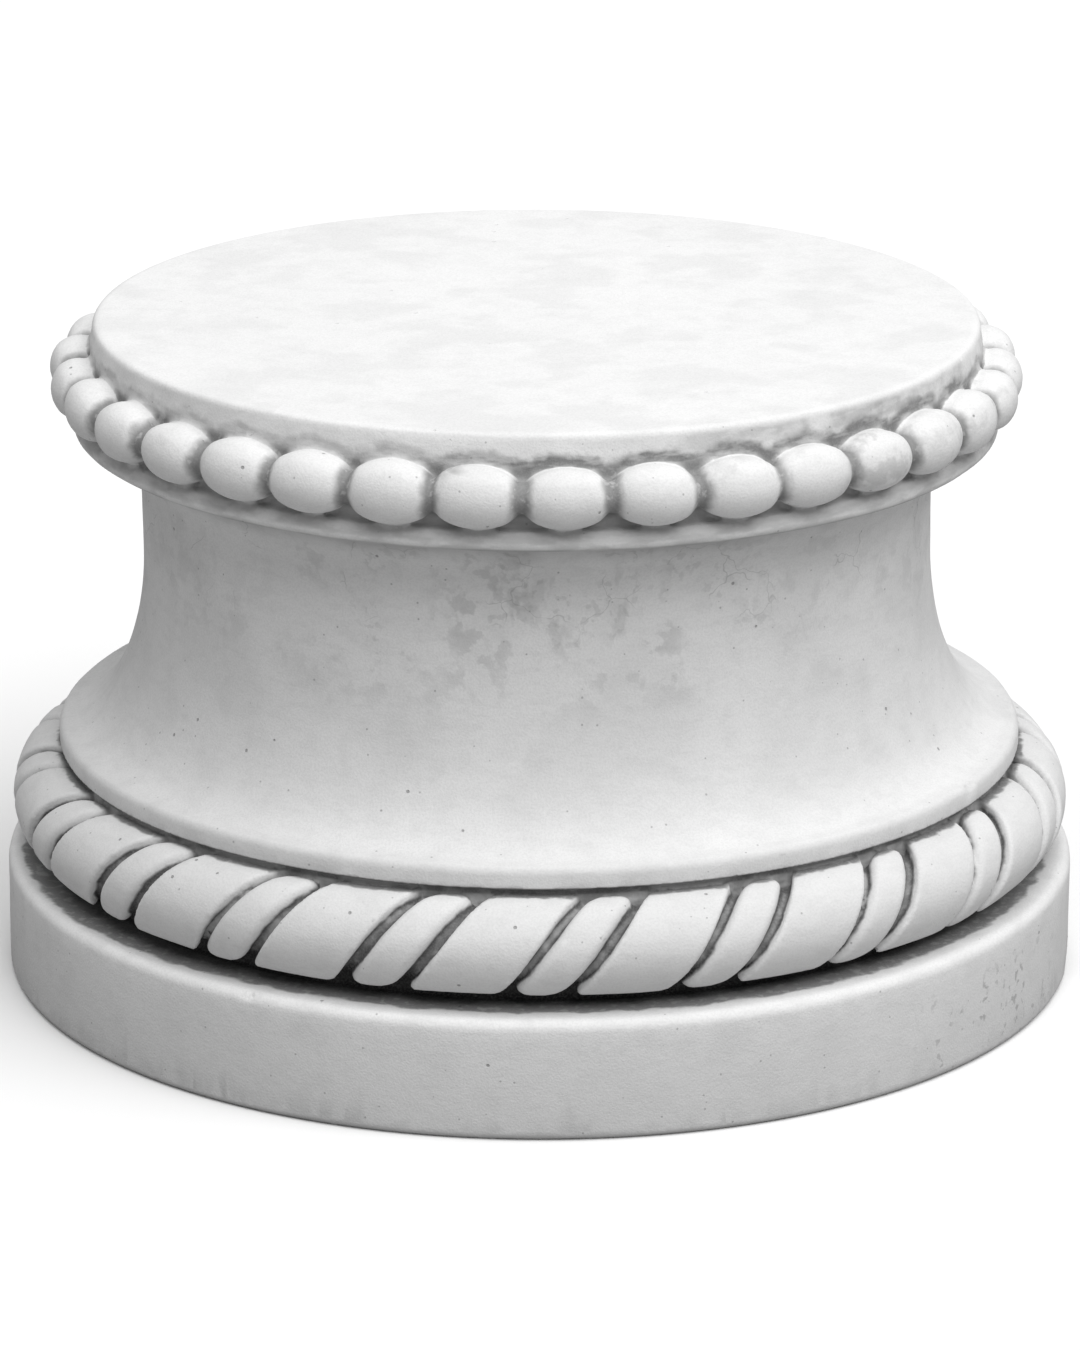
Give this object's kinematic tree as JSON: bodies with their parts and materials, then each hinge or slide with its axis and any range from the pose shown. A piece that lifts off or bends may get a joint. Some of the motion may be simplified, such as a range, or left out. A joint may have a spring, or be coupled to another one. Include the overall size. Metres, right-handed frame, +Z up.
{
  "type": "round garden pedestal",
  "caption": "Low round cast-stone pedestal with a flat top, a bead course under it, a flared hollow neck, a twisted rope moulding and a plain base drum.",
  "frame": {"origin": "centre of the flat underside, where the pedestal stands", "axes": "+Z is up the axis of the pedestal, towards its flat top, and -Y is the front that the picture shows"},
  "size_m": [0.46, 0.46, 0.284],
  "materials": {
    "cast_stone": "matt white cast stone with a fine grain, small pits and grey patina in its recesses"
  },
  "bodies": {
    "root": {"pedestal": "cast_stone"}
  },
  "joints": []
}
